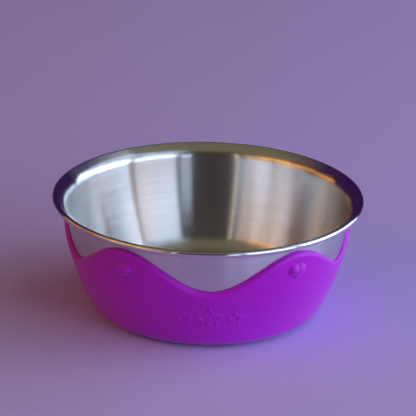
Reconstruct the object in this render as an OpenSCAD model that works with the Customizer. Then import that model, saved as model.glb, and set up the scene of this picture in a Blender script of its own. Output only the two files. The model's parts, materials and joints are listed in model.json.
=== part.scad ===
// Suction bowl for a toddler: a stainless steel bowl that stands in a crown-edged silicone
// sleeve. A suction cup snaps into the sleeve's floor and holds the bowl to the table, and a
// pull tab on the cup's lip lets the air back in.
// Millimetres, +Z up. The origin is on the table, under the middle of the bowl. The front is -Y.

/* [Bowl] */
// Outer diameter of the rim
rim_d = 130; // [126:1:134]
// Height of the rim above the table
bowl_h = 49.5; // [49.5:0.5:51]
// Thickness of the steel sheet
steel_t = 0.7; // [0.5:0.1:0.8]
// Outer radius of the rolled bead round the rim
bead_r = 1.2; // [1.1:0.1:1.5]
// Slope of the flared lip above the horizontal, in degrees
lip_tilt = 30; // [28:1:34]
// Radius of the bend from the wall into the lip
flare_r = 4.7; // [4.2:0.1:5]
// Radius of the bend from the base into the wall, outside
bowl_corner_r = 9; // [8:0.5:10]

/* [Wall] */
// Radius of the flat ring under the sleeve
foot_r = 43; // [42.6:0.1:43.6]
// Radius of the sleeve's rounded bottom edge
edge_r = 7.1; // [6.6:0.1:7.5]
// Lean of the wall from the vertical, just above the bottom edge, in degrees
wall_tilt = 26.5; // [26:0.5:27]
// Radius of the wall's curve, seen from the side
wall_r = 122; // [119:1:125]

/* [Sleeve] */
// Thickness of the silicone wall
sleeve_t = 1.8; // [1.6:0.1:1.9]
// Height of the sleeve's underside above the table, which the suction cup takes up
foot_z = 0.8; // [0.6:0.1:1]
// Height of the seat that the steel bowl stands on
seat_z = 6; // [5.8:0.1:6.5]
// Number of points of the crown
crown_points = 5; // [3:1:7]
// Height of the middle of the crown's wave
crown_z = 36.4; // [34:0.1:36.4]
// Rise of the crown's points above that height, and fall of its dips below it
crown_rise = 7.5; // [5:0.1:7.5]

/* [Relief] */
// Width of the raised heart under each point of the crown
heart_w = 8.3; // [6:0.1:9]
// Height of each heart's middle above the table
heart_z = 35.3; // [33:0.1:36.5]
// How far a heart stands out of the wall
heart_relief = 1.5; // [0.8:0.1:1.8]
// Width of the middle star on the front
star_w = 12.5; // [9:0.5:13]
// Width of the raised line that draws each star
star_line = 0.8; // [0.6:0.1:1.2]
// Height of the stars' middles above the table
star_z = 16.5; // [15:0.5:18]
// How far the stars stand out of the wall
star_relief = 0.35; // [0.2:0.05:0.5]

/* [Suction cup] */
// Outer radius of the sealing lip
lip_r = 40.6; // [40:0.1:40.9]
// Width of the flat land that seals on the table
land_w = 1.4; // [1:0.1:2]
// Height of the hollow under the cup
hollow_h = 2; // [1.6:0.1:2.2]
// Height of the pocket's roof in the sleeve, which the cup lies against
pocket_z = 3.2; // [3:0.1:3.4]
// Radius of the neck that passes through the sleeve's floor
neck_r = 7.95; // [6:0.05:9]
// Thickness of the floor that the neck holds
floor_t = 1.5; // [1.2:0.1:1.6]

/* [Pull tab] */
// Width of the tab
tab_w = 15; // [12:0.5:16]
// Distance of the tab's bend from the middle of the bowl
bend_y = 46.5; // [46:0.1:47]
// Distance of the tab's end from the middle of the bowl
tab_end = 57; // [55:0.5:58]
// Thickness of the tab's blade
tab_t = 1.4; // [1.2:0.1:1.5]

/* [Hidden] */

round_fn = 180;
steel_colour = "silver";
silicone_colour = [0.5, 0.09, 0.65];
seal_colour = [0.58, 0.2, 0.72];

// The wall is one arc, tangent to the bottom edge. Everything in the wall is an offset of it.
edge_z = foot_z + edge_r;
wall_foot = [foot_r + edge_r * cos(wall_tilt), edge_z - edge_r * sin(wall_tilt)];
wall_c = wall_foot - wall_r * [cos(wall_tilt), -sin(wall_tilt)];

// Steel bowl
bowl_gap = 0.2;
bowl_wall_r = wall_r - sleeve_t - bowl_gap;
bead_c = [rim_d / 2 - bead_r, bowl_h - bead_r];
curl_past_vertical = 115;

// The bend is tangent to the wall and to the lip, which fixes how far up the wall it starts.
lip_normal = [-sin(lip_tilt), cos(lip_tilt)];
bend_reach = (bead_c - wall_c) * lip_normal + bead_r - steel_t - flare_r;
bend_tilt = acos(bend_reach / (bowl_wall_r + flare_r)) - 90 - lip_tilt;

// Sleeve
crown_steps = 120;
pocket_r = 41.6;
pocket_draft = 0.4;
bore_clearance = 0.05;
corner_room = 0.5;
head_pocket_r = 11;
heart_sink = 1.2;
heart_round = 1.2;
star_sink = 0.6;
star_spacing = 11;
small_star = 0.62;

// Suction cup
head_r = 10.8;
head_top = seat_z - 0.1;
lip_t = 0.5;

// Pull tab
tab_lift = 0.25;
web_t = 0.7;
web_w = 12;
bend_gap = 0.1;
rib_h = 0.4;
rib_r = 0.45;
notch_w = 18;
notch_z = 2.3;
notch_slope = 45;

// Points on an arc about c, from angle a to angle b.
function arc(c, r, a, b, n) =
    [for (i = [0 : n]) let (t = a + (b - a) * i / n) c + r * [cos(t), sin(t)]];

// Radius of the wall arc at height z, for an arc of radius r about the wall's centre.
function wall_at(z, r) = wall_c.x + sqrt(r * r - pow(z - wall_c.y, 2));

// Centre of a corner of radius c that touches the height floor_z and the wall arc of radius r.
function corner_c(floor_z, c, r) =
    [wall_c.x + sqrt(pow(r - c, 2) - pow(floor_z + c - wall_c.y, 2)), floor_z + c];

// Lean of the wall where that corner meets it.
function corner_tilt(p) = atan2(wall_c.y - p.y, p.x - wall_c.x);

// Half of a cup's outline, from the axis along its floor, round its corner and up to the height top.
function cup_line(floor_z, c, r, top, shift = 0) =
    let (p = corner_c(floor_z, c, r),
         a = corner_tilt(p),
         b = asin((wall_c.y - top) / r))
    concat([[0, floor_z + shift]],
           arc(p, c - shift, -90, -a, 10),
           arc(wall_c, r - shift, -a, -b, 12));

// Both sides of the steel sheet share their arcs' centres, and differ by its thickness.
function bowl_side(shift) =
    let (bend = wall_c + (bowl_wall_r + flare_r) * [cos(bend_tilt), -sin(bend_tilt)],
         top = wall_c.y - bowl_wall_r * sin(bend_tilt))
    concat(cup_line(seat_z, bowl_corner_r, bowl_wall_r, top, shift),
           arc(bend, flare_r + shift, 180 - bend_tilt, 90 + lip_tilt, 10),
           arc(bead_c, bead_r - steel_t + shift, 90 + lip_tilt, -curl_past_vertical, 20));

module steel_bowl() {
    color(steel_colour)
        rotate_extrude($fn = round_fn)
            polygon(concat(bowl_side(0), reverse(bowl_side(steel_t))));
}

function reverse(v) = [for (i = [len(v) - 1 : -1 : 0]) v[i]];

// The crown's edge: a dip at the front, and a point over each heart.
function crown_at(angle) = crown_z - crown_rise * cos(crown_points * angle);

// Direction round the bowl, from the front.
function round(angle) = [sin(angle), -cos(angle)];

// Everything above the crown's edge, as a ring with a wavy underside.
module above_crown() {
    inner = foot_r;
    outer = rim_d / 2;
    n = crown_steps;
    ring = [for (i = [0 : n - 1]) let (a = i * 360 / n, d = round(a), z = crown_at(a))
        each [[inner * d.x, inner * d.y, z], [outer * d.x, outer * d.y, z],
              [outer * d.x, outer * d.y, bowl_h], [inner * d.x, inner * d.y, bowl_h]]];
    faces = [for (i = [0 : n - 1], k = [0 : 3])
        let (j = (i + 1) % n, m = (k + 1) % 4)
        each [[4 * i + k, 4 * j + m, 4 * j + k], [4 * i + k, 4 * i + m, 4 * j + m]]];
    polyhedron(ring, faces);
}

// Carries a flat shape onto the wall at a height and an angle from the front, facing outwards.
module on_wall(angle, z, sink) {
    tilt = asin((wall_c.y - z) / wall_r);
    r = wall_at(z, wall_r);
    rotate([0, 0, angle])
        translate([0, -r, z])
            rotate([90 + tilt, 0, 0])
                translate([0, 0, -sink])
                    children();
}

function heart_points(w) =
    [for (t = [0 : 7.5 : 359]) w / 32 *
        [16 * pow(sin(t), 3), 10 * cos(t) - 4 * cos(2 * t) - 1.6 * cos(3 * t) - 0.8 * cos(4 * t) + 2]];

function star_points(w) =
    [for (i = [0 : 9]) (i % 2 == 0 ? 0.52 : 0.26) * w * [sin(36 * i), cos(36 * i)]];

module hearts() {
    for (i = [0 : crown_points - 1])
        on_wall((i + 0.5) * 360 / crown_points, heart_z, heart_sink)
            linear_extrude(heart_sink + heart_relief)
                offset(heart_round, $fn = 24) polygon(heart_points(heart_w - 2 * heart_round));
}

// A star drawn with a raised line. A star's sides lie 0.23 of its width from its middle.
module star(w) {
    difference() {
        polygon(star_points(w));
        polygon(star_points(w - star_line / 0.23));
    }
}

module stars() {
    for (i = [-1 : 1])
        on_wall(i * star_spacing, star_z, star_sink)
            linear_extrude(star_sink + star_relief)
                star(i == 0 ? star_w : star_w * small_star);
}

// The notch in the sleeve's foot: low over the tab's web, and rising so that the tab can lift.
module tab_notch() {
    slope_from = bend_y - 1.1;
    far = tab_end + 2;
    rotate([90, 0, 90])
        linear_extrude(notch_w, center = true)
            polygon([[lip_r - 2, -1], [lip_r - 2, notch_z], [slope_from, notch_z],
                     [far, notch_z + (far - slope_from) * tan(notch_slope)], [far, -1]]);
}

module sleeve_section() {
    head_z = pocket_z + floor_t;
    inner_r = wall_r - sleeve_t;
    top = crown_z + crown_rise + 1;
    outer = cup_line(foot_z, edge_r, wall_r, top);
    inner = cup_line(seat_z, bowl_corner_r - corner_room, inner_r, top);
    neck = neck_r + bore_clearance;
    under = [[neck, pocket_z], [pocket_r - pocket_draft, pocket_z], [pocket_r, foot_z]];
    over = [[head_pocket_r, seat_z], [head_pocket_r, head_z], [neck, head_z]];
    tail_of_outer = [for (i = [1 : len(outer) - 1]) outer[i]];
    tail_of_inner = [for (i = [len(inner) - 1 : -1 : 1]) inner[i]];
    polygon(concat(under, tail_of_outer, tail_of_inner, over));
}

module sleeve() {
    color(silicone_colour)
        difference() {
            union() {
                rotate_extrude($fn = round_fn) sleeve_section();
                hearts();
                stars();
            }
            above_crown();
            tab_notch();
        }
}

// A shallow cone that lies in the sleeve's pocket, with a snap head above the sleeve's floor.
// A web runs out from its lip to the pull tab.
module suction_cup() {
    land_r = lip_r - land_w;
    shoulder_r = 31;
    roof_r = 29;
    head_z = pocket_z + floor_t;
    web_from = lip_r - 1;
    web_to = bend_y - web_t / 2 - bend_gap;
    color(seal_colour) {
        rotate_extrude($fn = round_fn)
            polygon([[0, hollow_h], [roof_r, hollow_h], [land_r - 1.5, 0.35], [land_r, 0],
                     [lip_r, 0], [lip_r, lip_t], [shoulder_r, pocket_z], [neck_r, pocket_z],
                     [neck_r, head_z], [head_r, head_z], [head_r, head_top - 0.5],
                     [head_r - 1.2, head_top], [0, head_top]]);
        translate([-web_w / 2, web_from, tab_lift])
            cube([web_w, web_to - web_from, web_t]);
    }
}

// A bar across the tab, round in section.
module cross_bar(y, z, r, w) {
    translate([0, y, z])
        rotate([0, 90, 0])
            cylinder(h = w, r = r, center = true, $fn = 32);
}

// A rounded blade with grip ribs. It turns about the round edge where it meets the web.
module release_tab() {
    end_r = tab_w / 2;
    blade_from = bend_y + 1.2;
    ribs_from = tab_end - 6;
    rib_pitch = 2;
    rib_z = tab_lift + tab_t + rib_h - rib_r;
    color(seal_colour) {
        cross_bar(bend_y, tab_lift + web_t / 2, web_t / 2, web_w);
        translate([-web_w / 2, bend_y, tab_lift])
            cube([web_w, blade_from - bend_y + 0.5, web_t]);
        translate([0, 0, tab_lift])
            linear_extrude(tab_t)
                intersection() {
                    translate([0, tab_end - end_r]) circle(end_r, $fn = 64);
                    translate([-end_r, blade_from]) square([tab_w, tab_end - blade_from]);
                }
        translate([-end_r, blade_from, tab_lift])
            cube([tab_w, tab_end - end_r - blade_from, tab_t]);
        for (i = [0 : 2])
            cross_bar(ribs_from + i * rib_pitch, rib_z, rib_r, tab_w * 0.5);
    }
}

steel_bowl();
sleeve();
suction_cup();
release_tab();
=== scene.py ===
"""Looks for the suction bowl: a brushed steel bowl in a crown-edged silicone sleeve on a suction cup.

Sizes below are in millimetres, as in the part's source, and meshes are made in metres. The front
is -Y. Angles round the bowl are in degrees from the front, towards +X.
"""

import json
import math

import bpy
import numpy as np
from mathutils import Matrix, Vector


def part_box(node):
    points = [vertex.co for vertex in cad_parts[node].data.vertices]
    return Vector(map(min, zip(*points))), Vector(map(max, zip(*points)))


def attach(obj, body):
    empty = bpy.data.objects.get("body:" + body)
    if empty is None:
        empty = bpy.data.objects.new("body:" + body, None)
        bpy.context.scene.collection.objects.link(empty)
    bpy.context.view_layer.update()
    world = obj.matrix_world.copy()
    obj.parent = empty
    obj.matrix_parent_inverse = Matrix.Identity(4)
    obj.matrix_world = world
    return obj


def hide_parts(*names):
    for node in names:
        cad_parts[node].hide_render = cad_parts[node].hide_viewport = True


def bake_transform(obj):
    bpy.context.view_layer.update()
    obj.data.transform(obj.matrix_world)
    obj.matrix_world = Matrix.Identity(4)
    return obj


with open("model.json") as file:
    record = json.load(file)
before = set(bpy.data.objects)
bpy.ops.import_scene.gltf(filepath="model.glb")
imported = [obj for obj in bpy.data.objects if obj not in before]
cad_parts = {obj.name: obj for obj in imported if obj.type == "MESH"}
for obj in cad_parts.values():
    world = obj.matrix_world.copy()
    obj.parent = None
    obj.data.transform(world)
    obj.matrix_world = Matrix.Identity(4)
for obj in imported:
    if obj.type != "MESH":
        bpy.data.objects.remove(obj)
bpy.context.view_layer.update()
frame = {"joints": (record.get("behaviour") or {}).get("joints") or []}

MM = 0.001
scene = bpy.context.scene

# ---------------------------------------------------------------------------------------------
# Sizes that the frame gives, in millimetres
# ---------------------------------------------------------------------------------------------


def high(node, axis):
    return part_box(node)[1][axis] / MM


def low(node, axis):
    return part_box(node)[0][axis] / MM


rim_r = high("steel_bowl", 0)
bowl_h = high("steel_bowl", 2)
seat_z = low("steel_bowl", 2)
foot_z = low("sleeve", 2)
crown_top = high("sleeve", 2)
lip_r = high("suction_cup", 0)
head_top = high("suction_cup", 2)
tab_w = high("release_tab", 0) * 2
tab_end = high("release_tab", 1)
tab_lift = low("release_tab", 2)
bend = [j for j in frame["joints"] if j["name"] == "tab_peel"][0]["pos_m"]
bend_y, bend_z = bend[1] / MM, bend[2] / MM

# ---------------------------------------------------------------------------------------------
# Sizes kept from the part's source
# ---------------------------------------------------------------------------------------------

foot_r, edge_r = 43, 7.1
wall_tilt, wall_r = 26.5, 122
sleeve_t, steel_t, bowl_gap = 1.8, 0.7, 0.2
bowl_corner_r, corner_room = 9, 0.5
lip_tilt, flare_r, bead_r = 30, 4.7, 1.2
curl_past_vertical = 115
crown_points, crown_rise = 5, 7.5
crown_z = crown_top - crown_rise
heart_w, heart_z, heart_relief, heart_round = 8.3, 35.3, 1.5, 1.2
star_w, star_z, star_line, star_relief = 12.5, 16.5, 0.8, 0.35
star_spacing, small_star = 11, 0.62
pocket_r, pocket_z, pocket_draft = 41.6, 3.2, 0.4
neck_r, bore_clearance, floor_t = 7.95, 0.05, 1.5
head_pocket_r, head_r = 11, 10.8
land_w, hollow_h, lip_t, cup_shoulder_r, cup_roof_r = 1.4, 2, 0.5, 31, 29
web_w, web_t, tab_t = 12, 0.7, 1.4
notch_w, notch_z, notch_slope = 18, 2.3, 45

# The wall is one arc, tangent to the bottom edge, and the steel is an offset of it.
tilt = math.radians(wall_tilt)
wall_c = np.array([
    foot_r + edge_r * math.cos(tilt) - wall_r * math.cos(tilt),
    foot_z + edge_r - edge_r * math.sin(tilt) + wall_r * math.sin(tilt),
])


def arc(centre, r, start, end, n):
    """n + 1 points on an arc, from angle start to angle end in degrees."""
    t = np.radians(np.linspace(start, end, n + 1))
    return np.stack([centre[0] + r * np.cos(t), centre[1] + r * np.sin(t)], axis=1)


def wall_angle(z, r):
    """Angle below the horizontal, seen from the wall's centre, of the point at height z."""
    return np.degrees(np.arcsin((wall_c[1] - z) / r))


def corner(floor_z, c, r):
    """Centre of a corner of radius c that touches floor_z and the wall arc r, and its end's angle."""
    z = floor_z + c
    centre = np.array([wall_c[0] + math.sqrt((r - c) ** 2 - (z - wall_c[1]) ** 2), z])
    return centre, math.degrees(math.atan2(wall_c[1] - z, centre[0] - wall_c[0]))


def line(a, b, n):
    """n points from a up to just before b."""
    t = np.arange(n)[:, None] / n
    return np.asarray(a) * (1 - t) + np.asarray(b) * t


def crown_at(angle):
    """Height of the crown's edge at an angle from the front."""
    return crown_z - crown_rise * np.cos(np.radians(crown_points * angle))


# ---------------------------------------------------------------------------------------------
# Meshes
# ---------------------------------------------------------------------------------------------


def add_mesh(name, points, faces, material, arc_length=None):
    """A smooth mesh from points in millimetres. arc_length goes to an attribute, in metres."""
    mesh = bpy.data.meshes.new(name)
    mesh.from_pydata((np.asarray(points) * MM).tolist(), [], faces)
    mesh.validate()
    mesh.update()
    mesh.polygons.foreach_set("use_smooth", [True] * len(mesh.polygons))
    if arc_length is not None:
        layer = mesh.attributes.new("arc_length", "FLOAT", "POINT")
        layer.data.foreach_set("value", np.asarray(arc_length, dtype=np.float32) * MM)
    obj = bpy.data.objects.new(name, mesh)
    scene.collection.objects.link(obj)
    obj.data.materials.append(material)
    return obj


def grid_faces(rows, columns):
    """Quads of a grid that closes on itself both ways. Points run along the rows first."""
    r, c = np.meshgrid(np.arange(rows), np.arange(columns), indexing="ij")
    r2, c2 = (r + 1) % rows, (c + 1) % columns
    quads = np.stack([r * columns + c, r * columns + c2, r2 * columns + c2, r2 * columns + c], axis=-1)
    return quads.reshape(-1, 4).tolist()


def revolve(profile, columns):
    """Points and faces of a profile of (radius, height) turned about Z. It starts and ends on the axis."""
    turn = np.radians(np.arange(columns) * 360 / columns)
    ring = profile[1:-1]
    x = ring[:, :1] * np.sin(turn)
    y = -ring[:, :1] * np.cos(turn)
    z = np.repeat(ring[:, 1:], columns, axis=1)
    points = np.stack([x, y, z], axis=-1).reshape(-1, 3)
    rows = len(ring)
    faces = grid_faces(rows, columns)[: (rows - 1) * columns]
    first, last = len(points), len(points) + 1
    points = np.vstack([points, [0, 0, profile[0][1]], [0, 0, profile[-1][1]]])
    for c in range(columns):
        after = (c + 1) % columns
        faces.append([first, after, c])
        faces.append([last, (rows - 1) * columns + c, (rows - 1) * columns + after])
    return points, faces


def along(profile):
    """Distance along a profile at each of its points."""
    return np.concatenate([[0], np.cumsum(np.linalg.norm(np.diff(profile, axis=0), axis=1))])


def spread(start, end, step):
    """Values from start to end, as far apart at each place as step() says there."""
    fine = np.linspace(start, end, 20001)
    count = np.concatenate([[0], np.cumsum(np.diff(fine) / step(fine[:-1]))])
    return np.interp(np.linspace(0, count[-1], round(count[-1]) + 1), count, fine)


def smooth_step(x, a, b):
    t = np.clip((x - a) / (b - a), 0, 1)
    return t * t * (3 - 2 * t)


# ---------------------------------------------------------------------------------------------
# Materials
# ---------------------------------------------------------------------------------------------


class Shader:
    """A material with one Principled shader, and short ways to add nodes to it."""

    def __init__(self, name, **sockets):
        self.material = bpy.data.materials.new(name)
        self.material.use_nodes = True
        self.tree = self.material.node_tree
        self.bsdf = self.tree.nodes["Principled BSDF"]
        for socket, value in sockets.items():
            self.bsdf.inputs[socket.replace("_", " ")].default_value = value

    def node(self, kind, settings=None, **inputs):
        """Adds a node. An input is a number, a colour or another node's output."""
        made = self.tree.nodes.new("ShaderNode" + kind)
        for key, value in (settings or {}).items():
            setattr(made, key, value)
        for key, value in inputs.items():
            self.put(made.inputs[key.replace("_", " ")], value)
        return made

    def put(self, socket, value):
        if isinstance(value, bpy.types.NodeSocket):
            self.tree.links.new(value, socket)
        else:
            socket.default_value = value

    def scaled(self, scale):
        """Object coordinates, stretched."""
        place = self.node("TexCoord").outputs["Object"]
        return self.node("Mapping", Vector=place, Scale=scale).outputs["Vector"]

    def noise(self, vector, scale, detail=3.0, roughness=0.5):
        made = self.node("TexNoise", Vector=vector, Scale=scale, Detail=detail, Roughness=roughness)
        return made.outputs["Fac"]

    def ranged(self, value, from_low, from_high, to_low, to_high):
        made = self.node("MapRange", Value=value)
        for key, number in (("From Min", from_low), ("From Max", from_high),
                            ("To Min", to_low), ("To Max", to_high)):
            made.inputs[key].default_value = number
        return made.outputs["Result"]

    def math(self, operation, a, b):
        made = self.node("Math", {"operation": operation})
        self.put(made.inputs[0], a)
        self.put(made.inputs[1], b)
        return made.outputs["Value"]

    def mixed(self, factor, a, b):
        """A colour between two colours."""
        made = self.node("Mix", {"data_type": "RGBA"})
        self.put(made.inputs[0], factor)
        self.put(made.inputs[6], a)
        self.put(made.inputs[7], b)
        return made.outputs[2]

    def bump(self, height, strength, distance, normal=None):
        made = self.node("Bump", Height=height, Strength=strength, Distance=distance)
        if normal is not None:
            self.put(made.inputs["Normal"], normal)
        return made.outputs["Normal"]


def linear(r, g, b):
    """A colour given as sRGB from 0 to 255."""
    def channel(v):
        v /= 255
        return v / 12.92 if v <= 0.04045 else ((v + 0.055) / 1.055) ** 2.4
    return (channel(r), channel(g), channel(b), 1.0)


def brushed_steel():
    """Stainless steel brushed round the bowl, and polished on its lip."""
    streaks_round, streaks_across = 14.0, 3400.0  # per metre
    polish_from, polish_to = (bowl_h - 3.6) * MM, (bowl_h - 2.6) * MM
    s = Shader("brushed_steel", Metallic=1.0, Anisotropic=1.0, Anisotropic_Rotation=0.25)
    s.put(s.bsdf.inputs["Tangent"],
          s.node("Tangent", {"direction_type": "RADIAL", "axis": "Z"}).outputs["Tangent"])
    place = s.node("TexCoord").outputs["Object"]
    parts = s.node("SeparateXYZ", Vector=place)
    length = s.node("Attribute", {"attribute_name": "arc_length"}).outputs["Fac"]
    stretched = s.node("CombineXYZ", X=s.math("MULTIPLY", parts.outputs["X"], streaks_round),
                       Y=s.math("MULTIPLY", parts.outputs["Y"], streaks_round),
                       Z=s.math("MULTIPLY", length, streaks_across)).outputs["Vector"]
    fine = s.noise(stretched, 1.0, detail=3.0, roughness=0.6)
    broad = s.noise(s.scaled((14.0, 14.0, 40.0)), 1.0, detail=2.0)
    lip = s.ranged(parts.outputs["Z"], polish_from, polish_to, 0.0, 1.0)
    brushed = s.math("ADD", s.ranged(fine, 0.3, 0.7, 0.23, 0.25), s.ranged(broad, 0.3, 0.7, -0.01, 0.01))
    polished = s.ranged(fine, 0.3, 0.7, 0.17, 0.2)
    rough = s.node("Mix", {"data_type": "FLOAT"})
    for index, value in ((0, lip), (2, brushed), (3, polished)):
        s.put(rough.inputs[index], value)
    s.put(s.bsdf.inputs["Roughness"], rough.outputs[0])
    s.put(s.bsdf.inputs["Base Color"],
          s.mixed(s.ranged(fine, 0.25, 0.75, 0.0, 1.0), linear(211, 211, 211), linear(230, 230, 230)))
    s.put(s.bsdf.inputs["Normal"], s.bump(fine, 0.04, 0.000015))
    return s.material


def silicone(name, dark, light, grain, roughness, scatter):
    """Satin moulded silicone: a fine grain, faint mottling and a little light inside."""
    s = Shader(name, Specular_IOR_Level=0.38, Subsurface_Weight=scatter, Subsurface_Scale=0.003,
               Sheen_Weight=0.16, Sheen_Roughness=0.45)
    s.bsdf.inputs["Subsurface Radius"].default_value = (0.9, 0.35, 1.0)
    s.bsdf.inputs["IOR"].default_value = 1.41
    mottle = s.noise(s.scaled((1, 1, 1)), 55.0, detail=3.0)
    speck = s.noise(s.scaled((1, 1, 1)), 1.0 / grain, detail=2.0, roughness=0.6)
    s.put(s.bsdf.inputs["Base Color"], s.mixed(s.ranged(mottle, 0.3, 0.7, 0.0, 1.0), dark, light))
    blur = s.math("ADD", s.ranged(mottle, 0.3, 0.7, -0.03, 0.03),
                  s.ranged(speck, 0.3, 0.7, roughness - 0.05, roughness + 0.05))
    s.put(s.bsdf.inputs["Roughness"], blur)
    s.put(s.bsdf.inputs["Normal"], s.bump(speck, 0.12, 0.00005))
    return s.material


def pale_floor():
    """A matte pale lavender table."""
    s = Shader("floor", Specular_IOR_Level=0.2)
    paper = s.noise(s.scaled((1, 1, 1)), 900.0, detail=3.0)
    s.put(s.bsdf.inputs["Base Color"],
          s.mixed(s.ranged(paper, 0.3, 0.7, 0.0, 1.0), linear(202, 176, 238), linear(207, 182, 242)))
    s.put(s.bsdf.inputs["Roughness"], s.ranged(paper, 0.3, 0.7, 0.75, 0.85))
    s.put(s.bsdf.inputs["Normal"], s.bump(paper, 0.1, 0.0001))
    return s.material


steel = brushed_steel()
sleeve_silicone = silicone("sleeve_silicone", linear(179, 13, 194), linear(187, 16, 204), 0.0002, 0.44, 0.12)
cup_silicone = silicone("cup_silicone", linear(172, 36, 200), linear(180, 44, 210), 0.0003, 0.34, 0.25)

# ---------------------------------------------------------------------------------------------
# Steel bowl
# ---------------------------------------------------------------------------------------------


def bowl_side(shift):
    """One side of the sheet, from the middle of the base to the curl.

    shift is how far it is inside the outer side.
    """
    r = wall_r - sleeve_t - bowl_gap
    centre, angle = corner(seat_z, bowl_corner_r, r)
    bead = np.array([rim_r - bead_r, bowl_h - bead_r])
    slope = math.radians(lip_tilt)
    reach = (bead - wall_c) @ [-math.sin(slope), math.cos(slope)] + bead_r - steel_t - flare_r
    lean = math.acos(reach / (r + flare_r)) - math.pi / 2 - slope
    lip_wall_tilt = math.degrees(lean)
    flare = wall_c + (r + flare_r) * np.array([math.cos(lean), -math.sin(lean)])
    floor_end = [centre[0], seat_z + shift]
    return np.vstack([
        line([0, seat_z + shift], floor_end, 24),
        arc(centre, bowl_corner_r - shift, -90, -angle, 16),
        arc(wall_c, r - shift, -angle, -lip_wall_tilt, 60)[1:],
        arc(flare, flare_r + shift, 180 - lip_wall_tilt, 90 + lip_tilt, 18)[1:],
        arc(bead, bead_r - steel_t + shift, 90 + lip_tilt, -curl_past_vertical, 36),
    ])


def steel_bowl():
    """The drawn bowl. The brushing follows the length along the sheet, which is the same on both sides."""
    columns = 320
    outside, inside = bowl_side(0), bowl_side(steel_t)
    profile = np.vstack([outside, inside[::-1]])
    points, faces = revolve(profile, columns)
    length = np.concatenate([along(outside), along(inside)[::-1]])
    lengths = np.repeat(length[1:-1], columns)
    obj = add_mesh("brushed_bowl", points, faces, steel, np.concatenate([lengths, [0, 0]]))
    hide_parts("steel_bowl")
    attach(obj, "bowl")
    return obj


# ---------------------------------------------------------------------------------------------
# Sleeve
# ---------------------------------------------------------------------------------------------


def heart_outline():
    """The heart before its outline is moved out by heart_round."""
    t = np.radians(np.arange(0, 360, 5))
    x = 16 * np.sin(t) ** 3
    y = 10 * np.cos(t) - 4 * np.cos(2 * t) - 1.6 * np.cos(3 * t) - 0.8 * np.cos(4 * t) + 2
    return np.stack([x, y], axis=1) * (heart_w - 2 * heart_round) / 32


def star_outline(width):
    """A star with five points, the first of them up."""
    turn = np.radians(36 * np.arange(10))
    reach = np.where(np.arange(10) % 2 == 0, 0.52, 0.26) * width
    return np.stack([reach * np.sin(turn), reach * np.cos(turn)], axis=1)


def depth_inside(outline, u, v):
    """Distance of each point (u, v) inside a closed outline, negative outside it."""
    nearest = np.full(u.shape, np.inf)
    inside = np.zeros(u.shape, dtype=bool)
    for a, b in zip(outline, np.roll(outline, -1, axis=0)):
        along_edge = b - a
        t = ((u - a[0]) * along_edge[0] + (v - a[1]) * along_edge[1]) / (along_edge @ along_edge)
        t = np.clip(t, 0, 1)
        nearest = np.minimum(nearest, np.hypot(u - a[0] - t * along_edge[0], v - a[1] - t * along_edge[1]))
        crosses = (a[1] > v) != (b[1] > v)
        if a[1] != b[1]:
            inside ^= crosses & (u < a[0] + (v - a[1]) * along_edge[0] / along_edge[1])
    return np.where(inside, nearest, -nearest)


def relief(angle, r, z):
    """How far the hearts and stars stand out of the wall, at points given by angle, radius and height."""
    lift = np.zeros(z.shape)

    def add(at_angle, at_z, outline, reach, profile):
        """Adds an outline's profile near a place. reach is more than its size, and saves time."""
        lean = np.radians(wall_angle(at_z, wall_r))
        turn = (angle - at_angle + 180) % 360 - 180
        u = np.radians(turn) * r
        v = (z - at_z) / np.cos(lean)
        near = (np.abs(u) < reach) & (np.abs(v) < reach)
        lift[near] += profile(depth_inside(outline, u[near], v[near]))

    def pillow(depth):
        """A dome. The outline is moved out, which rounds the heart's tip."""
        skirt, shoulder = 0.1, 2.6
        depth = depth + heart_round
        t = np.clip((depth + skirt) / shoulder, 0, 1)
        return 1.15 * heart_relief * (1 - (1 - t) ** 2) ** 0.75

    def raised_line(depth):
        """A low line just inside the outline."""
        return star_relief * smooth_step(star_line / 2 + 0.2 - np.abs(depth - star_line / 2), 0, 0.4)

    for i in range(crown_points):
        add((i + 0.5) * 360 / crown_points, heart_z, heart_outline(), heart_w, pillow)
    for i in (-1, 0, 1):
        width = star_w if i == 0 else star_w * small_star
        add(i * star_spacing, star_z, star_outline(width), star_w, raised_line)
    return lift


def column_step(angle):
    """Width of the sleeve's columns, in degrees: narrow at the hearts, the stars and the notch's sides."""
    spacing = 360 / crown_points
    heart_half, stars_half, notch_from, notch_to = 5.2, 17.5, 8.6, 13.4
    to_heart = np.abs((angle % spacing) - spacing / 2)
    to_front = np.abs((angle + 180) % 360 - 180)
    to_back = 180 - to_front
    step = np.full(angle.shape, 1.6)
    step[to_heart < heart_half] = 0.24
    step[to_front < stars_half] = 0.2
    step[(to_back > notch_from) & (to_back < notch_to)] = 0.22
    return step


def wall_step(t):
    """Height of the sleeve's rows, as a share of the wall: small where the stars and the hearts are."""
    stars_from, hearts_to = 0.1, 0.92
    step = np.full(t.shape, 0.03)
    step[(t > stars_from) & (t < hearts_to)] = 0.0075
    return step


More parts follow.
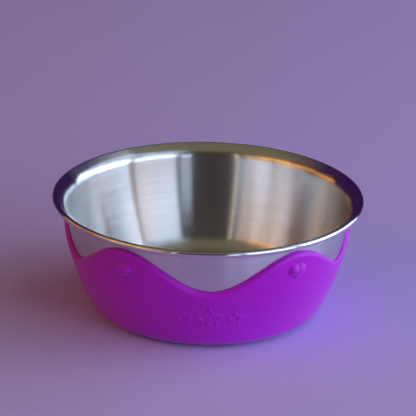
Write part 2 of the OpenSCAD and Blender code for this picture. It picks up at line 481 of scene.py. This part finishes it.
def sleeve():
    """A closed skin: round the foot, up the wall, over the crown's edge, down inside and under the floor."""
    columns = spread(0, 360, column_step)[:-1]
    share = spread(0, 1, wall_step)
    mid_r = wall_r - sleeve_t / 2
    edge_fall, inner_round, bevel = 1.5, 0.2, 1.4
    inner_r = wall_r - sleeve_t - 0.1
    outer_centre, outer_angle = corner(foot_z, edge_r, wall_r)
    inner_centre, inner_angle = corner(seat_z, bowl_corner_r - corner_room, inner_r)
    head_z = pocket_z + floor_t
    neck = neck_r + bore_clearance
    soft = 0.4
    corner_steps = 14

    def rounded(corner_point, a, b, n=4):
        """A small rounded corner between the directions to a and to b."""
        p, a, b = (np.asarray(q, dtype=float) for q in (corner_point, a, b))
        start = p + (a - p) / np.linalg.norm(a - p) * soft
        end = p + (b - p) / np.linalg.norm(b - p) * soft
        t = np.linspace(0, 1, n + 1)[:, None]
        return start * (1 - t) ** 2 + p * 2 * t * (1 - t) + end * t ** 2

    def column(angle):
        """The skin's section at one angle, and which of its points are on the wall outside."""
        edge = crown_at(angle)
        a_edge = wall_angle(edge - 0.1, mid_r)
        lean = math.radians(a_edge)
        outwards = np.array([math.cos(lean), -math.sin(lean)])
        upwards = np.array([math.sin(lean), math.cos(lean)])
        edge_c = wall_c + (inner_r + inner_round) * outwards - edge_fall * upwards
        t = np.radians(np.linspace(0, 90, 13))[1:, None]
        outer_edge = (edge_c + (sleeve_t - inner_round) * np.abs(np.cos(t)) ** bevel * outwards
                      + edge_fall * np.sin(t) ** bevel * upwards)
        t = np.radians(np.linspace(90, 180, 6))[1:, None]
        inner_edge = (edge_c + (edge_fall - inner_round) * upwards
                      + inner_round * (np.cos(t) * outwards + np.sin(t) * upwards))
        edge_start = edge_c + (sleeve_t - inner_round) * outwards
        a_edge = math.degrees(math.atan2(wall_c[1] - edge_start[1], edge_start[0] - wall_c[0]))
        a_inner = math.degrees(math.atan2(wall_c[1] - inner_edge[-1][1], inner_edge[-1][0] - wall_c[0]))
        z_from = wall_c[1] - wall_r * math.sin(math.radians(outer_angle))
        z_to = wall_c[1] - wall_r * math.sin(math.radians(a_edge))
        wall_a = wall_angle(z_from + (z_to - z_from) * share, wall_r)
        wall = np.stack([wall_c[0] + wall_r * np.cos(np.radians(wall_a)),
                         wall_c[1] - wall_r * np.sin(np.radians(wall_a))], axis=1)
        foot_in = [pocket_r, foot_z]
        pocket_top = [pocket_r - pocket_draft, pocket_z]
        parts = [
            arc(outer_centre, edge_r, -90, -outer_angle, corner_steps)[:-1],
            wall,
            outer_edge,
            inner_edge,
            arc(wall_c, inner_r, -a_inner, -inner_angle, 24)[1:],
            arc(inner_centre, bowl_corner_r - corner_room, -inner_angle, -90, 10)[1:],
            line([inner_centre[0], seat_z], [head_pocket_r + soft, seat_z], 6)[1:],
            rounded([head_pocket_r, seat_z], [20, seat_z], [head_pocket_r, head_z], 3),
            rounded([head_pocket_r, head_z], [head_pocket_r, seat_z], [neck, head_z], 3),
            rounded([neck, head_z], [head_pocket_r, head_z], [neck, pocket_z], 3),
            rounded([neck, pocket_z], [neck, head_z], [20, pocket_z], 3),
            line([neck + soft, pocket_z], [pocket_top[0] - soft, pocket_z], 8)[1:],
            rounded(pocket_top, [20, pocket_z], foot_in, 4),
            rounded(foot_in, pocket_top, [foot_r, foot_z], 4),
        ]
        return np.vstack(parts)

    sections = np.array([column(a) for a in columns])
    rows = sections.shape[1]
    r = sections[:, :, 0].T
    z = sections[:, :, 1].T
    angle = np.repeat(columns[None, :], rows, axis=0)

    # Hearts and stars, along the wall's normal
    first = corner_steps
    last = first + len(share)
    lean = np.radians(wall_angle(z[first:last], wall_r))
    lift = relief(angle[first:last], r[first:last], z[first:last])
    r[first:last] += lift * np.cos(lean)
    z[first:last] -= lift * np.sin(lean)

    x = r * np.sin(np.radians(angle))
    y = -r * np.cos(np.radians(angle))

    # The notch over the pull tab: what is under its roof goes up to it. That is the skin up to the
    # wall's top, and the pocket's edge with the foot, which are the last points of a section.
    pocket_edge = 9
    slope_from = bend_y - 1.1
    roof = notch_z + np.maximum(y - slope_from, 0) * math.tan(math.radians(notch_slope))
    under = np.zeros(z.shape, dtype=bool)
    under[:last] = True
    under[-pocket_edge:] = True
    in_notch = (1 - smooth_step(np.abs(x), notch_w / 2 - 0.35, notch_w / 2 + 0.35)) * (y > 0) * under
    z = z + in_notch * np.maximum(roof - z, 0)

    points = np.stack([x, y, z], axis=-1).reshape(-1, 3)
    obj = add_mesh("crown_sleeve", points, grid_faces(rows, len(columns)), sleeve_silicone)
    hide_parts("sleeve")
    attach(obj, "sleeve")
    return obj


# ---------------------------------------------------------------------------------------------
# Suction cup and pull tab
# ---------------------------------------------------------------------------------------------


def suction_cup():
    """The soft disc under the sleeve, with its snap head."""
    head_z = pocket_z + floor_t
    land = lip_r - land_w
    outline = [
        ([0, hollow_h], [cup_roof_r, hollow_h], 20),
        ([cup_roof_r, hollow_h], [land - 1.5, 0.35], 8),
        ([land - 1.5, 0.35], [land, 0], 3),
        ([land, 0], [lip_r - 0.2, 0], 3),
        ([lip_r - 0.2, 0], [lip_r, 0.2], 2),
        ([lip_r, 0.2], [lip_r, lip_t - 0.1], 2),
        ([lip_r, lip_t - 0.1], [lip_r - 0.3, lip_t + 0.06], 2),
        ([lip_r - 0.3, lip_t + 0.06], [cup_shoulder_r, pocket_z], 10),
        ([cup_shoulder_r, pocket_z], [neck_r + 0.3, pocket_z], 10),
        ([neck_r + 0.3, pocket_z], [neck_r, pocket_z + 0.3], 2),
        ([neck_r, pocket_z + 0.3], [neck_r, head_z], 3),
        ([neck_r, head_z], [head_r - 0.2, head_z], 3),
        ([head_r - 0.2, head_z], [head_r, head_z + 0.2], 2),
        ([head_r, head_z + 0.2], [head_r, head_top - 0.5], 2),
        ([head_r, head_top - 0.5], [head_r - 1.2, head_top], 4),
        ([head_r - 1.2, head_top], [0, head_top], 6),
    ]
    profile = np.vstack([line(a, b, n) for a, b, n in outline] + [[[0, head_top]]])
    points, faces = revolve(profile, 240)
    obj = add_mesh("suction_disc", points, faces, cup_silicone)
    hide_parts("suction_cup")
    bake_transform(obj)
    return obj


def pull_tab():
    """A soft tongue on a thin web, with three grip ribs across it."""
    half = 20
    end_r = tab_w / 2
    y_from = lip_r - 1
    blade_from = bend_y + 1.2
    y_round = tab_end - end_r
    ys = np.concatenate([
        np.linspace(y_from, blade_from, 22)[:-1],
        np.linspace(blade_from, y_round, 14)[:-1],
        y_round + end_r * np.sin(np.radians(np.linspace(0, 88, 40))),
    ])
    across = np.sin(np.radians(np.linspace(-90, 90, 2 * half + 1)))

    def width(y):
        shoulder = web_w / 2 + (end_r - web_w / 2) * smooth_step(y, blade_from - 0.5, blade_from + 0.8)
        past = np.clip(y - y_round, 0, end_r)
        return np.where(y > y_round, np.sqrt(np.maximum(end_r ** 2 - past ** 2, 0)), shoulder)

    def top(x, y):
        """Height of the upper side, with rounded edges and the ribs."""
        w = width(y)
        thick = web_t + (tab_t - web_t) * smooth_step(y, blade_from - 0.4, blade_from + 0.6)
        to_edge = np.minimum(w - np.abs(x), np.where(y > y_round, end_r - np.hypot(x, y - y_round), 9))
        round_edge = np.sqrt(1 - (1 - np.clip(to_edge / 0.45, 0, 1)) ** 2)
        ribs = sum(np.exp(-((y - tab_end + 6 - 2 * i) / 0.42) ** 4) for i in range(3))
        ribs = ribs * smooth_step(tab_w * 0.28 - np.abs(x), 0, 0.5)
        return tab_lift + 0.25 + (thick - 0.25) * round_edge + 0.4 * ribs

    y = np.repeat(ys[:, None], len(across), axis=1)
    x = across[None, :] * width(ys)[:, None]
    upper = np.stack([x, y, top(x, y)], axis=-1)
    to_edge = np.clip((width(ys)[:, None] - np.abs(x)) / 0.3, 0, 1)
    lower = np.stack([x, y, tab_lift + 0.25 * (1 - np.sqrt(1 - (1 - to_edge) ** 2))], axis=-1)
    n_y, n_x = x.shape
    points = np.concatenate([upper.reshape(-1, 3), lower.reshape(-1, 3)])
    faces = []
    for i in range(n_y - 1):
        for j in range(n_x - 1):
            a = i * n_x + j
            quad = [a, a + 1, a + 1 + n_x, a + n_x]
            faces.append(quad)
            faces.append([k + n_y * n_x for k in reversed(quad)])
    rim = list(range(n_x))
    rim += [i * n_x + n_x - 1 for i in range(1, n_y)]
    rim += [(n_y - 1) * n_x + j for j in range(n_x - 2, -1, -1)]
    rim += [i * n_x for i in range(n_y - 2, 0, -1)]
    for a, b in zip(rim, rim[1:] + rim[:1]):
        faces.append([b, a, a + n_y * n_x, b + n_y * n_x])
    obj = add_mesh("pull_tab", points, faces, cup_silicone)
    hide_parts("release_tab")
    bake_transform(obj)
    return obj


steel_bowl()
sleeve()
suction_cup()
pull_tab()

# ---------------------------------------------------------------------------------------------
# Floor, lights and camera
# ---------------------------------------------------------------------------------------------


def floor():
    """The table, as a grid of large cells."""
    size, cells = 6.0, 12
    steps = np.linspace(-size / 2, size / 2, cells + 1) / MM
    x, y = np.meshgrid(steps, steps)
    points = np.stack([x, y, np.zeros(x.shape)], axis=-1).reshape(-1, 3)
    n = cells + 1
    faces = [[i * n + j, i * n + j + 1, (i + 1) * n + j + 1, (i + 1) * n + j]
             for i in range(cells) for j in range(cells)]
    add_mesh("table_top", points, faces, pale_floor())


def softbox(name, azimuth, elevation, distance, width, height, colour, radiance):
    """A flat soft light that faces the bowl. Azimuth 0 is at the camera's side, and 90 at +X."""
    data = bpy.data.lights.new(name, "AREA")
    data.shape = "RECTANGLE"
    data.size, data.size_y = width, height
    data.color = colour[:3]
    data.energy = radiance * math.pi * width * height
    lamp = bpy.data.objects.new(name, data)
    a, e = math.radians(azimuth), math.radians(elevation)
    back = Vector((math.sin(a) * math.cos(e), -math.cos(a) * math.cos(e), math.sin(e)))
    lamp.location = back * distance
    lamp.rotation_mode = "QUATERNION"
    lamp.rotation_quaternion = (-back).to_track_quat("-Z", "Y")
    scene.collection.objects.link(lamp)


def room():
    """A dim room: an olive ceiling, a dark camera side and a dark purple back."""
    world = bpy.data.worlds.new("room")
    world.use_nodes = True
    tree = world.node_tree
    place = tree.nodes.new("ShaderNodeTexCoord")
    parts = tree.nodes.new("ShaderNodeSeparateXYZ")
    tree.links.new(place.outputs["Generated"], parts.inputs["Vector"])

    def mixed(source, start, end, a, b):
        along_axis = tree.nodes.new("ShaderNodeMapRange")
        tree.links.new(source, along_axis.inputs["Value"])
        along_axis.inputs["From Min"].default_value = start
        along_axis.inputs["From Max"].default_value = end
        mix = tree.nodes.new("ShaderNodeMix")
        mix.data_type = "RGBA"
        tree.links.new(along_axis.outputs["Result"], mix.inputs[0])
        for index, value in ((6, a), (7, b)):
            if isinstance(value, bpy.types.NodeSocket):
                tree.links.new(value, mix.inputs[index])
            else:
                mix.inputs[index].default_value = value
        return mix.outputs[2]

    sides = mixed(parts.outputs["Y"], -0.5, 0.6, linear(58, 53, 50), linear(50, 24, 72))
    colour = mixed(parts.outputs["Z"], 0.66, 0.9, sides, linear(116, 110, 90))
    tree.links.new(colour, tree.nodes["Background"].inputs["Color"])
    tree.nodes["Background"].inputs["Strength"].default_value = 1.0
    scene.world = world


def lights():
    """A window on the right, brighter below its cross bar, a dim wall on the left and a warm lamp.

    The lamp's parts go down towards the back, so that it follows the bend under the bowl's lip.
    """
    pane = linear(208, 228, 255)
    for name, start, end, elevation, height, radiance in (
            ("1", 13, 22, 9, 0.5, 2.8), ("2", 26.5, 63, 15.5, 0.76, 3.3),
            ("3", 69, 100, 15.5, 0.76, 5.2), ("4", 100, 131, 15.5, 0.76, 2.9)):
        azimuth, width = (start + end) / 2, 2.8 * math.tan(math.radians((end - start) / 2))
        softbox("low_pane_" + name, azimuth, elevation, 1.4, width, height, pane, radiance)
        if name != "1":
            softbox("high_pane_" + name, azimuth, 46, 1.4, width * 0.72, 0.76, pane, 0.7)
    softbox("door_gap", -25.5, 20, 1.5, 0.06, 1.2, linear(255, 240, 200), 1.5)
    softbox("wall_left_1", -44, 22, 1.5, 0.58, 1.1, linear(255, 204, 150), 0.74)
    softbox("wall_left_2", -67, 22, 1.5, 0.42, 1.0, linear(255, 204, 150), 0.78)
    softbox("wall_left_3", -82, 20, 1.5, 0.34, 0.8, linear(255, 196, 140), 0.45)
    softbox("warm_wall", -106, 18, 1.5, 0.9, 0.6, linear(255, 190, 120), 0.1)
    lamp = linear(255, 172, 20)
    for name, azimuth, elevation, width in (("1", -64, 38, 0.66), ("2", -90, 31, 0.74),
                                            ("3", -115, 20, 0.6)):
        softbox("lamp_left_" + name, azimuth, elevation, 1.45, width, 0.3, lamp, 1.25)
    room()


def camera():
    """A long lens, a little above the bowl. It points above the bowl, which stands low in the frame."""
    azimuth, elevation, distance = -1.742, 22.047, 1.259
    roll, pitch_up, turn_right = 1.339, 0.791, 0.021
    data = bpy.data.cameras.new("camera")
    data.sensor_width = 36
    data.lens = 259.6
    data.clip_start, data.clip_end = 0.05, 20
    cam = bpy.data.objects.new("camera", data)
    a, e = math.radians(azimuth), math.radians(elevation)
    back = Vector((math.sin(a) * math.cos(e), -math.cos(a) * math.cos(e), math.sin(e)))
    target = Vector((0, 0, (24 + foot_z) * MM))
    aim = (-back).to_track_quat("-Z", "Y").to_matrix().to_4x4()
    aim = aim @ Matrix.Rotation(math.radians(roll), 4, "Z")
    aim = aim @ Matrix.Rotation(math.radians(pitch_up), 4, "X")
    aim = aim @ Matrix.Rotation(math.radians(-turn_right), 4, "Y")
    cam.matrix_world = Matrix.Translation(target + back * distance) @ aim
    scene.collection.objects.link(cam)
    scene.camera = cam


floor()
lights()
camera()
scene.view_settings.view_transform = "Standard"
